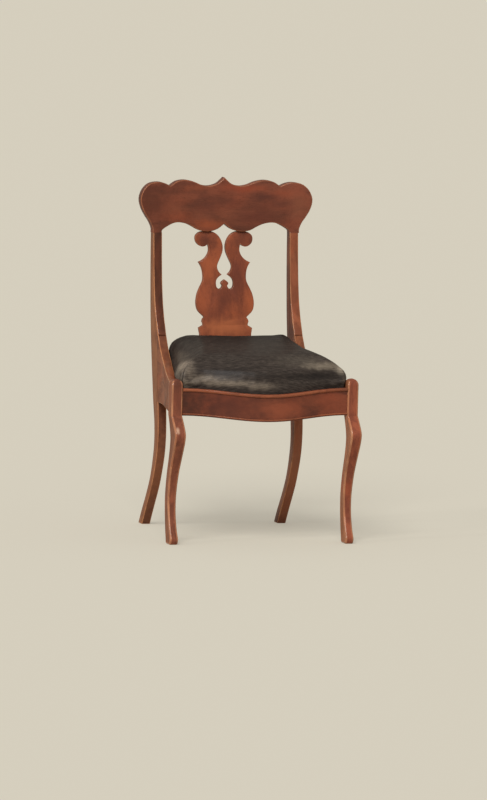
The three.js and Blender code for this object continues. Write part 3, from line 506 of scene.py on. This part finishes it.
# Wood screws through the corner blocks into the rails. They are iron, each with a cone head, a slot sawn
# across it and a plain shank, and they sit at any turn.
iron, tree, shader, place = new_material("iron")
rust = noise(tree, stretched(tree, place, (700, 700, 700)), 3.0)
colour = mixed(tree, ramp(tree, rust, 0.5, 0.7), srgb(92, 88, 84), srgb(96, 62, 44))
tree.links.new(colour, shader.inputs["Base Color"])
tree.links.new(sums(tree, "MULTIPLY_ADD", rust, 0.4, 0.3), shader.inputs["Roughness"])
shader.inputs["Metallic"].default_value = 0.8

head, shank, point, length = 0.004, 0.0019, 0.0003, 0.03
slot_half, slot_deep = 0.0005, 0.0011
bpy.ops.object.select_all(action="DESELECT")
bpy.ops.mesh.primitive_circle_add(vertices=20, radius=head)
pattern = bpy.context.object
bpy.ops.object.mode_set(mode="EDIT")
wide, deep = head, 0
for next_wide, next_deep in ((head, 0.0004), (shank, 0.003), (shank, length - 0.006), (point, length)):
    bpy.ops.mesh.extrude_region_move(TRANSFORM_OT_translate={"value": (0, 0, next_deep - deep)})
    share = next_wide / wide
    bpy.ops.transform.resize(value=(share, share, 1), center_override=(0, 0, next_deep))
    wide, deep = next_wide, next_deep
bpy.ops.mesh.edge_face_add()
bpy.ops.mesh.select_all(action="DESELECT")
bpy.ops.mesh.select_mode(type="VERT")
mesh = bmesh.from_edit_mesh(pattern.data)
for vert in mesh.verts:
    vert.select = vert.co.z < 0.0001
mesh.select_flush(True)
bmesh.update_edit_mesh(pattern.data)
bpy.ops.mesh.edge_face_add()
for near in (-slot_half, slot_half):
    bpy.ops.mesh.select_mode(type="FACE")
    bpy.ops.mesh.select_all(action="DESELECT")
    mesh = bmesh.from_edit_mesh(pattern.data)
    for face in mesh.faces:
        face.select = max(v.co.z for v in face.verts) < 0.0001
    bmesh.update_edit_mesh(pattern.data)
    bpy.ops.mesh.bisect(plane_co=(0, near, 0), plane_no=(0, 1, 0))
bpy.ops.mesh.select_all(action="DESELECT")
mesh = bmesh.from_edit_mesh(pattern.data)
for face in mesh.faces:
    middle = face.calc_center_median()
    face.select = abs(middle.y) < 0.0003 and max(v.co.z for v in face.verts) < 0.0001
bmesh.update_edit_mesh(pattern.data)
bpy.ops.mesh.extrude_region_move(TRANSFORM_OT_translate={"value": (0, 0, slot_deep)})
bpy.ops.mesh.select_all(action="SELECT")
bpy.ops.mesh.normals_make_consistent(inside=False)
bpy.ops.object.mode_set(mode="OBJECT")
bpy.ops.object.shade_smooth_by_angle(angle=math.radians(40))
for side, out in (("left", -1), ("right", 1)):
    for end in ("front", "rear"):
        for rail in ("rail", "side"):
            name = f"{side}_{end}_block_{rail}_screw"
            low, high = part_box(name)
            centre = (low + high) / 2
            way = Vector((out, 0, 0)) if rail == "side" else Vector((0, -1 if end == "front" else 1, 0))
            screw = copied("slotted_" + name, pattern, iron)
            turn = way.to_track_quat("Z", "Y").to_matrix().to_4x4()
            spin = Matrix.Rotation(len(bpy.data.objects) * 1.1, 4, "Z")
            screw.data.transform(Matrix.Translation(centre - way * length / 2) @ turn @ spin)
            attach(screw, "chair_frame")
            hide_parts(name)
bpy.data.objects.remove(pattern)

# Webbing: jute straps 50 mm wide, woven over and under each other and strained over the seat frame. Each has
# rounded selvedges and a darker thread along both edges.


def jute_yarn(name, light, dark):
    material, tree, shader, place = new_material(name)
    links = {"Vector": place, "Scale": 340.0, "Distortion": 1.2}
    twill = add_node(tree, "ShaderNodeTexWave", links, bands_direction="DIAGONAL").outputs["Fac"]
    thread = noise(tree, stretched(tree, place, (1900, 1900, 1900)), 1.0)
    tone = sums(tree, "MULTIPLY_ADD", twill, 0.6, sums(tree, "MULTIPLY", thread, 0.4))
    colour = mixed(tree, tone, srgb(*dark), srgb(*light))
    surface(tree, shader, colour, sums(tree, "MULTIPLY_ADD", tone, 0.1, 0.85), tone, 0.6, 0.0005)
    return material


jute = jute_yarn("jute webbing", (194, 162, 116), (116, 88, 56))
selvedge = jute_yarn("webbing selvedge", (118, 90, 60), (72, 52, 34))
for name in [n for n in solids if n.startswith("webbing")]:
    strap = rounded(name, 0.0006, [jute, selvedge], segments=2, body="slip_seat", loose=True)

# Base cloth: plain linen, stretched over the webbing and tacked to the seat frame. It is dished a little
# where the hair presses it down between the straps.
flax, tree, shader, place = new_material("base linen")
weave = {"Vector": place, "Scale": 420.0, "Distortion": 0.6}
warp, weft = (
    add_node(tree, "ShaderNodeTexWave", weave, bands_direction=way).outputs["Fac"] for way in ("X", "Y")
)
slub = noise(tree, stretched(tree, place, (60, 400, 400)), 2.0)
tone = sums(tree, "MULTIPLY", warp, weft)
colour = mixed(tree, tone, srgb(112, 96, 70), srgb(176, 156, 120))
colour = mixed(tree, sums(tree, "MULTIPLY", ramp(tree, slub, 0.55, 0.75), 0.5), colour, srgb(128, 104, 70))
surface(tree, shader, colour, sums(tree, "MULTIPLY_ADD", slub, 0.1, 0.85), tone, 0.5, 0.0003)
low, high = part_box("base_cloth")
linen = copied("linen_base_cloth", solids["base_cloth"], flax)
mesh = bmesh.new()
mesh.from_mesh(linen.data)
bmesh.ops.remove_doubles(mesh, verts=mesh.verts, dist=doubles)
upper = [v for v in mesh.verts if v.co.z > (low.z + high.z) / 2]
bmesh.ops.delete(mesh, geom=upper, context="VERTS")
bmesh.ops.dissolve_limit(mesh, angle_limit=0.01, verts=mesh.verts, edges=mesh.edges)
squares = 32
for across, start, end in ((Vector((1, 0, 0)), low.x, high.x), (Vector((0, 1, 0)), low.y, high.y)):
    for step in range(1, squares):
        sliced(mesh, across * (start + (end - start) * step / squares), across)
strap_pitch, middle_strap = 0.088, -0.052
lifted, sag, held_edge = 0.0005, 0.0004, 0.05
for vert in mesh.verts:
    crossways = 1 - math.cos(2 * math.pi * vert.co.x / strap_pitch)
    lengthways = 1 - math.cos(2 * math.pi * (vert.co.y - middle_strap) / strap_pitch)
    edge = min(vert.co.x - low.x, high.x - vert.co.x, vert.co.y - low.y, high.y - vert.co.y)
    vert.co.z += lifted - sag * crossways * lengthways * min(edge / held_edge, 1)
area = sum(f.calc_area() for f in mesh.faces)
mesh.to_mesh(linen.data)
mesh.free()
pick_only(linen)
thick = linen.modifiers.new("cloth", "SOLIDIFY")
thick.thickness = 0.0005
thick.offset = 0
bpy.ops.object.modifier_apply(modifier="cloth")
for face in linen.data.polygons:
    face.use_smooth = True
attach(linen, "slip_seat")
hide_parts("base_cloth")

# The seat: curled hair heaped over the base cloth and drawn down tight under black horsehair satin. The
# satin goes down over the seat frame and is tacked under it, with a pleat at each front corner. A pale
# sheen is painted along the front, on the left flank and at the right front corner, and shade is painted
# along the front roll, over the back and in the pleats.
horsehair, tree, shader, place = new_material("horsehair cloth")
threads = tree.nodes.new("ShaderNodeUVMap")
threads.uv_map = "cloth"
threads = threads.outputs["UV"]
hair = noise(tree, stretched(tree, threads, (8, 2300, 1)), 1.0)
strand = noise(tree, stretched(tree, threads, (7, 520, 1)), 3.0)
band = noise(tree, stretched(tree, threads, (6, 60, 1)), 3.0)
fleck = noise(tree, stretched(tree, threads, (60, 330, 1)), 3.0)
axes = add_node(tree, "ShaderNodeSeparateXYZ", {0: threads}).outputs
hairs_per_metre, ties_per_metre, offset_per_hair = 1300, 400, 0.4
pick = sums(tree, "FLOOR", sums(tree, "MULTIPLY", axes["Y"], hairs_per_metre))
start = sums(tree, "MULTIPLY", pick, offset_per_hair)
tie = sums(tree, "FRACT", sums(tree, "MULTIPLY_ADD", axes["X"], ties_per_metre, start))
tie = ramp(tree, tie, 0.74, 0.84)
colour = mixed(tree, ramp(tree, hair, 0.28, 0.72), srgb(42, 36, 33), srgb(70, 61, 55))
colour = mixed(tree, sums(tree, "MULTIPLY", ramp(tree, strand, 0.52, 0.7), 0.3), colour, srgb(88, 78, 69))
colour = mixed(tree, sums(tree, "MULTIPLY", ramp(tree, fleck, 0.5, 0.66), 0.45), colour, srgb(88, 79, 71))
colour = mixed(tree, sums(tree, "MULTIPLY", ramp(tree, fleck, 0.5, 0.36), 0.5), colour, srgb(33, 29, 27))
colour = mixed(tree, sums(tree, "MULTIPLY", ramp(tree, band, 0.5, 0.34), 0.35), colour, srgb(38, 33, 31))
# Painted sheen: pale clouds that stand in for the satin's highlights, broken up along the threads
painted_sheen = [
    ((-0.18, -0.03, 0.446), (0.03, 0.12, 0.024), (108, 97, 85), 0.6),
    ((-0.192, -0.15, 0.428), (0.03, 0.07, 0.035), (152, 137, 120), 0.95),
    ((-0.203, -0.19, 0.396), (0.025, 0.04, 0.02), (128, 115, 100), 0.8),
    ((-0.15, -0.207, 0.407), (0.05, 0.04, 0.013), (126, 113, 99), 0.85),
    ((-0.09, -0.222, 0.397), (0.12, 0.04, 0.011), (126, 113, 99), 0.85),
    ((-0.02, -0.238, 0.39), (0.05, 0.03, 0.01), (118, 105, 91), 0.7),
    ((0.09, -0.17, 0.445), (0.12, 0.06, 0.02), (104, 94, 82), 0.55),
    ((0.155, -0.19, 0.436), (0.07, 0.05, 0.012), (136, 123, 106), 0.8),
    ((0.197, -0.19, 0.426), (0.018, 0.05, 0.014), (166, 152, 134), 0.9),
    ((0.207, -0.18, 0.405), (0.012, 0.05, 0.03), (120, 108, 94), 0.7),
]
# Painted shade: over the back of the seat and in bands along the front roll
dark = [
    ((0, 0.09, 0.485), (0.28, 0.17, 0.06), (34, 30, 28), 0.8),
    ((0.14, -0.2, 0.413), (0.1, 0.05, 0.013), (30, 26, 25), 0.8),
    ((0.02, -0.23, 0.414), (0.09, 0.05, 0.014), (36, 31, 29), 0.5),
    ((-0.1, -0.217, 0.424), (0.1, 0.04, 0.013), (33, 28, 27), 0.7),
]
sheen_in_threads = sums(tree, "MULTIPLY_ADD", ramp(tree, strand, 0.36, 0.64), 0.2, 0.45)
sheen_in_threads = sums(tree, "MULTIPLY_ADD", ramp(tree, fleck, 0.34, 0.64), 0.4, sheen_in_threads)
sheen_in_threads = sums(tree, "MULTIPLY_ADD", ramp(tree, hair, 0.3, 0.7), 0.16, sheen_in_threads)
for centre, reach, tint, strength in painted_sheen:
    share = sums(tree, "MULTIPLY", cloud_share(tree, place, centre, reach, strength), sheen_in_threads)
    colour = mixed(tree, share, colour, srgb(*tint))
colour = clouded(tree, place, colour, dark)
colour = mixed(tree, sums(tree, "MULTIPLY", tie, 0.4), colour, srgb(26, 22, 21))
fold_shade = add_node(tree, "ShaderNodeAttribute", attribute_name="fold_shade").outputs["Fac"]
# Painted shade in the pleat groove at each front corner
colour = mixed(tree, fold_shade, colour, srgb(24, 21, 20))
lift = sums(tree, "MULTIPLY_ADD", tie, -0.5, hair)
surface(tree, shader, colour, sums(tree, "MULTIPLY_ADD", strand, -0.2, 0.6), lift, 0.4, 0.0003)
shader.inputs["Specular IOR Level"].default_value = 0.0
tree.links.new(sums(tree, "MULTIPLY_ADD", hair, 0.25, 0.06), shader.inputs["Coat Weight"])
shader.inputs["Coat Roughness"].default_value = 0.36

pad = copied("horsehair_seat", solids["seat_stuffing"], horsehair)
cover_low, pad_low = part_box("seat_cover")[0].z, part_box("seat_stuffing")[0].z
outwards = 0.0013
mesh = bmesh.new()
mesh.from_mesh(pad.data)
bmesh.ops.remove_doubles(mesh, verts=mesh.verts, dist=doubles)
mesh.normal_update()
for vert in mesh.verts:
    if vert.co.z < pad_low + 0.0005:
        vert.co += Vector((vert.normal.x, vert.normal.y, 0)).normalized() * outwards
        vert.co.z = cover_low + 0.006
    elif vert.normal.z < 0.6:
        vert.co += vert.normal * outwards
mesh.to_mesh(pad.data)
mesh.free()
pick_only(pad)
remesh = pad.modifiers.new("voxels", "REMESH")
remesh.mode = "VOXEL"
remesh.voxel_size = 0.005
bpy.ops.object.modifier_apply(modifier="voxels")

neighbours = ["front_rail", "front_rail_top_bead", "back_rail", "splat_shoe"]
for side in ("left", "right"):
    neighbours += [side + "_side_rail", side + "_back_post", side + "_front_leg"]
clearance = 0.0007


# How far a point of the cushion can move before it comes up against the wood
def room_to(point, reach):
    free = reach
    for name in neighbours:
        near, _, _, distance = solid_tree(name).find_nearest(point, reach + 0.001)
        if near:
            free = min(free, max(distance - clearance, 0))
    return free


rest = [v.co.copy() for v in pad.data.vertices]
held = pad.vertex_groups.new(name="held")
held.add([i for i, p in enumerate(rest) if p.z < pad_low], 1.0, "REPLACE")
cloth = pad.modifiers.new("stuffed", "CLOTH")
cloth.settings.use_pressure = True
cloth.settings.uniform_pressure_force = 4
cloth.settings.effector_weights.gravity = 0
cloth.settings.vertex_group_mass = "held"
steps, furthest = 20, 0.004
for step in range(1, steps + 1):
    bpy.context.scene.frame_set(step)
blown = pad.evaluated_get(bpy.context.evaluated_depsgraph_get()).data
moved = [v.co.copy() for v in blown.vertices]
pad.modifiers.remove(cloth)
pad.vertex_groups.remove(held)
bpy.context.scene.frame_set(1)
for vert, start, end in zip(pad.data.vertices, rest, moved):
    push = end - start
    vert.co = start + push.normalized() * min(push.length, room_to(start, furthest))


def fade(value, start, end):
    share = min(max((value - start) / (end - start), 0), 1)
    return share * share * (3 - 2 * share)


# The hair is fuller at the back corners, more so on the right, and swells over the rails behind the legs
right_corner, left_corner, fullest = 0.007, 0.004, 0.008
for vert in pad.data.vertices:
    spot = vert.co
    back = fade(abs(spot.x), 0.09, 0.14) * fade(spot.y, -0.05, 0.05) * fade(spot.z, 0.43, 0.45)
    spot.z += (right_corner if spot.x > 0 else left_corner) * back
    swell = fade(spot.z, 0.384, 0.4) * fade(spot.z, 0.45, 0.42) * fade(spot.y, -0.02, -0.11)
    swell *= fade(abs(spot.x), 0.15, 0.185)
    if swell > 0:
        out = Vector((math.copysign(1, spot.x), -0.25, 0)).normalized()
        vert.co = spot + out * min(fullest * swell, room_to(spot, 0.01))

subdivide = pad.modifiers.new("smooth", "SUBSURF")
subdivide.levels = subdivide.render_levels = 1
bpy.ops.object.modifier_apply(modifier="smooth")

# Below the top of the rails the cover lies flat against the seat frame
seat_middle = Vector((0, -0.06, 0))
wall, wall_height = solid_tree("seat_cover"), 0.365


def on_wall(point):
    found, way, _, _ = wall.find_nearest(Vector((point.x, point.y, wall_height)))
    way = Vector((way.x, way.y, 0)).normalized()
    inside = way.dot(Vector((found.x, found.y, 0)) - seat_middle) < 0
    return Vector((found.x, found.y, 0)) - way * (0.0011 if inside else 0.0001)


for vert in pad.data.vertices:
    share = fade(vert.co.z, 0.392, 0.383)
    if share > 0:
        flat = on_wall(vert.co)
        vert.co += Vector((flat.x - vert.co.x, flat.y - vert.co.y, 0)) * share

# It goes down over the frame, is turned under it and tacked, and the shell closes over the base cloth
mesh = bmesh.new()
mesh.from_mesh(pad.data)
sliced(mesh, (0, 0, pad_low + 0.001), (0, 0, 1), clear_inner=True)
edge = next(e for e in mesh.edges if e.is_boundary)
rim = [edge.verts[0]]
while len(rim) < 2 or rim[-1] != rim[0]:
    near = [e.other_vert(rim[-1]) for e in rim[-1].link_edges if e.is_boundary]
    rim.append(near[0] if len(rim) < 2 or near[0] != rim[-2] else near[1])
rim.pop()
foot = [on_wall(v.co) for v in rim]
turned_in, inner_edge, cloth_thick = 0.93, 0.9945, 0.001
for z, share in (
    (cover_low + 0.002, 1), (cover_low, 0.994), (cover_low, turned_in), (cover_low + cloth_thick, turned_in),
    (cover_low + cloth_thick, inner_edge), (pad_low, inner_edge),
):
    row = [mesh.verts.new(seat_middle + (p - seat_middle) * share + Vector((0, 0, z))) for p in foot]
    for k in range(len(rim)):
        mesh.faces.new((rim[k - 1], rim[k], row[k], row[k - 1]))
    rim = row
mesh.faces.new(rim)
bmesh.ops.recalc_face_normals(mesh, faces=mesh.faces)

# A pleat at each front corner, folded back over the side and fading out on the crown, its groove painted in
# shade
corner = Vector((0.2075, -0.199, 0))
inward = Vector((-0.667, 0.745, 0))


def at_pleat(point):
    flat = Vector((abs(point.x), point.y, 0)) - corner
    return flat.dot(inward), flat.x * inward.y - flat.y * inward.x


zone = []
rail_edge = 0.38
for edge in mesh.edges:
    along, off = at_pleat((edge.verts[0].co + edge.verts[1].co) / 2)
    if edge.verts[0].co.z > rail_edge and -0.01 < along < 0.09 and abs(off) < 0.014:
        zone.append(edge)
bmesh.ops.subdivide_edges(mesh, edges=zone, cuts=1, use_grid_fill=True)
mesh.normal_update()
# A share of painted shade along the pleat groove, read by the cloth's colour
layer = mesh.verts.layers.float.new("fold_shade")
fold_lift_and_shade = {}
for vert in mesh.verts:
    along, off = at_pleat(vert.co)
    if vert.co.z > rail_edge and -0.01 < along < 0.09 and abs(off) < 0.03:
        strength = fade(along, 0.085, 0.03) * fade(vert.co.z, rail_edge, 0.388)
        lip = 0.001 * math.exp(-((off / 0.012) ** 2)) if off < 0 else 0
        groove = 0.0022 * math.exp(-(((off - 0.002) / 0.0028) ** 2))
        fold_lift_and_shade[vert] = (lip - groove) * strength, math.exp(-(((off - 0.0015) / 0.0018) ** 2)) * strength
for vert, (lift, shade) in fold_lift_and_shade.items():
    vert[layer] = shade * 0.8
    vert.co += vert.normal * lift
mesh.to_mesh(pad.data)
mesh.free()
for face in pad.data.polygons:
    face.use_smooth = True

# The cloth's own threads: the hair weft runs from side to side over the seat and straight down both flanks
spread, crown_edge = [], 0.462
for vert in pad.data.vertices:
    way = wall.find_nearest(Vector((vert.co.x, vert.co.y, wall_height)))[1]
    drop = max(crown_edge - vert.co.z, 0)
    if abs(way.x) > abs(way.y):
        spread.append((vert.co.x + math.copysign(drop, vert.co.x), vert.co.y))
    else:
        spread.append((vert.co.x, vert.co.y + math.copysign(drop, vert.co.y - seat_middle.y)))
cloth_map = pad.data.uv_layers.new(name="cloth")
for loop in pad.data.loops:
    cloth_map.data[loop.index].uv = spread[loop.vertex_index]
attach(pad, "slip_seat")
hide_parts("seat_cover", "seat_stuffing")

# Tacks that hold the cover's edge under the seat frame. They are cut iron tacks, driven an inch apart through
# the turned edge. Only the flat faces of their heads are made, a hair below the cloth.
head_radius, head_level = 0.00162, cover_low - 0.0002
tack_pitch, tack_line = 0.025, 0.962
bpy.ops.object.select_all(action="DESELECT")
bpy.ops.mesh.primitive_circle_add(vertices=12, radius=head_radius, location=(0, 0, head_level))
pattern = bpy.context.object
bpy.ops.object.mode_set(mode="EDIT")
bpy.ops.mesh.select_mode(type="VERT")
bpy.ops.mesh.select_all(action="SELECT")
bpy.ops.mesh.edge_face_add()
bpy.ops.mesh.flip_normals()
bpy.ops.object.mode_set(mode="OBJECT")
bpy.ops.object.transform_apply(location=True)
tacks, walked, last = [], 0.0, foot[-1]
for point in foot:
    walked += (point - last).length
    last = point
    if walked > tack_pitch:
        walked = 0.0
        tack = copied("tack", pattern, iron)
        tack.data.transform(Matrix.Translation(seat_middle + (point - seat_middle) * tack_line))
        tacks.append(tack)
bpy.data.objects.remove(pattern)
for tack in tacks:
    tack.select_set(True)
bpy.context.view_layer.objects.active = tacks[0]
bpy.ops.object.join()
tacks = bpy.context.object
tacks.name = "cover_tacks"
bpy.ops.object.shade_smooth_by_angle(angle=math.radians(40))
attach(tacks, "slip_seat")

# Floor, light and camera: a pale paper-coloured floor, one broad soft lamp from the front left, a small
# glint from the left for the worn arrises, and an even sky. The camera is a long lens, turned a degree and
# a half.
bpy.ops.object.select_all(action="DESELECT")
bpy.ops.mesh.primitive_plane_add(size=120)
floor = bpy.context.object
floor.name = "floor"
material, tree, shader, place = new_material("floor")
paper_tone, black = srgb(214, 207, 190), (0, 0, 0, 1)
paths = tree.nodes.new("ShaderNodeLightPath").outputs
seen = sums(tree, "MAXIMUM", paths["Is Camera Ray"], paths["Is Glossy Ray"])
lit = sums(tree, "MULTIPLY", seen, 0.45)
tree.links.new(mixed(tree, lit, paper_tone, black), shader.inputs["Base Color"])
tree.links.new(mixed(tree, lit, black, paper_tone), shader.inputs["Emission Color"])
shader.inputs["Emission Strength"].default_value = 1.0
shader.inputs["Roughness"].default_value = 1.0
shader.inputs["Specular IOR Level"].default_value = 0.0
floor.data.materials.append(material)

world = bpy.data.worlds.new("paper sky")
bpy.context.scene.world = world
world.use_nodes = True
tree = world.node_tree
tree.nodes.clear()
seen = tree.nodes.new("ShaderNodeLightPath").outputs
shown = sums(tree, "MAXIMUM", seen["Is Glossy Ray"], seen["Is Transmission Ray"])
direct = sums(tree, "MAXIMUM", seen["Is Camera Ray"], shown)
sky = add_node(tree, "ShaderNodeBackground", {"Color": (1, 1, 1, 1), "Strength": 0.45}).outputs[0]
paper = add_node(tree, "ShaderNodeBackground", {"Color": paper_tone, "Strength": 1.0}).outputs[0]
blend = add_node(tree, "ShaderNodeMixShader", {0: direct, 1: sky, 2: paper}).outputs[0]
add_node(tree, "ShaderNodeOutputWorld", {"Surface": blend})

lamps = (("key", 2.2, 28, (0.35, 0.68, -0.75)), ("glint", 0.45, 5, (0.9, 0.33, -0.35)))
for name, energy, angle, toward in lamps:
    lamp = bpy.data.objects.new(name, bpy.data.lights.new(name, "SUN"))
    lamp.data.energy = energy
    lamp.data.angle = math.radians(angle)
    lamp.rotation_mode = "QUATERNION"
    lamp.rotation_quaternion = Vector(toward).to_track_quat("-Z", "Y")
    bpy.context.scene.collection.objects.link(lamp)

around, above, roll = math.radians(15.7691), math.radians(5.5953), math.radians(1.5192)
distance = 25.0
target = Vector((0, -0.01435, 0.43))
across = Vector((math.cos(around), -math.sin(around), 0))
forward = Vector((math.sin(around) * math.cos(above), math.cos(around) * math.cos(above), -math.sin(above)))
upward = across.cross(forward)
spot = target - forward * distance
aim = target + across * 0.000685 - upward * 0.09521
back = (spot - aim).normalized()
right = across * math.cos(roll) + upward * math.sin(roll)
right = (right - back * right.dot(back)).normalized()
up = back.cross(right)
camera = bpy.data.objects.new("camera", bpy.data.cameras.new("camera"))
camera.data.sensor_width = 36
camera.data.lens = 457.37
camera.data.clip_end = 400
camera.matrix_world = Matrix((
    (right.x, up.x, back.x, spot.x),
    (right.y, up.y, back.y, spot.y),
    (right.z, up.z, back.z, spot.z),
    (0, 0, 0, 1),
))
bpy.context.scene.collection.objects.link(camera)
bpy.context.scene.camera = camera

bpy.context.scene.view_settings.view_transform = "Standard"
bpy.context.view_layer.update()
